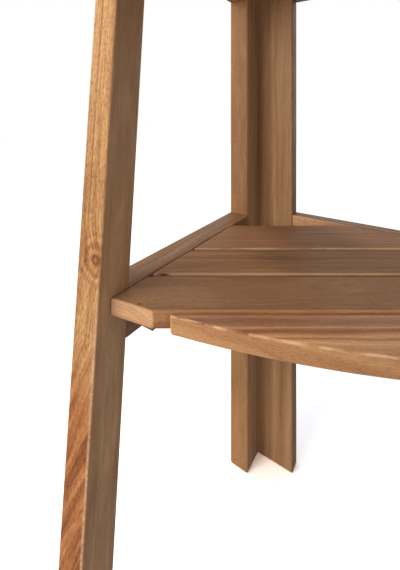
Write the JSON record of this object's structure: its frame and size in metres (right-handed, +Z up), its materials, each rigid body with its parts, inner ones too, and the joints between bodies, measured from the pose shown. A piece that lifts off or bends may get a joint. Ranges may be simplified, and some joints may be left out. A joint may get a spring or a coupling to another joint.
{
  "type": "corner plant stand",
  "caption": "Tiered wooden corner plant stand: slatted quadrant shelves with curved fronts between leaning front legs and mitred rear posts.",
  "frame": {"origin": "Floor level, in the middle of the stand's overall width and depth.", "axes": "+Z is up, +X is the stand's right as seen from its curved front, and +Y points back into the corner of the room."},
  "size_m": [0.6376, 0.3763, 1.155],
  "materials": {
    "frame_wood": "oiled hardwood, satin",
    "slat_wood": "oiled hardwood, satin",
    "support_wood": "oiled hardwood, satin",
    "dowel_wood": "plain beech",
    "screw_steel": "zinc plated"
  },
  "bodies": {
    "root": {"left_leg": "frame_wood", "right_leg": "frame_wood", "left_post": "frame_wood", "right_post": "frame_wood", "low_left_rail": "frame_wood", "low_right_rail": "frame_wood", "mid_left_rail": "frame_wood", "mid_right_rail": "frame_wood", "top_left_rail": "frame_wood", "top_right_rail": "frame_wood", "low_left_cleat": "support_wood", "low_right_cleat": "support_wood", "mid_left_cleat": "support_wood", "mid_right_cleat": "support_wood", "top_left_cleat": "support_wood", "top_right_cleat": "support_wood", "low_left_batten": "support_wood", "low_right_batten": "support_wood", "mid_left_batten": "support_wood", "mid_right_batten": "support_wood", "top_left_batten": "support_wood", "top_right_batten": "support_wood", "low_rear_slat": "slat_wood", "low_second_slat": "slat_wood", "low_third_slat": "slat_wood", "low_front_slat": "slat_wood", "mid_rear_slat": "slat_wood", "mid_second_slat": "slat_wood", "mid_third_slat": "slat_wood", "mid_front_slat": "slat_wood", "top_rear_slat": "slat_wood", "top_second_slat": "slat_wood", "top_third_slat": "slat_wood", "top_front_slat": "slat_wood", "rail_dowels": "dowel_wood", "cleat_screws": "screw_steel", "low_slat_screws": "screw_steel", "mid_slat_screws": "screw_steel", "top_slat_screws": "screw_steel", "corner_screws": "screw_steel"}
  },
  "joints": []
}
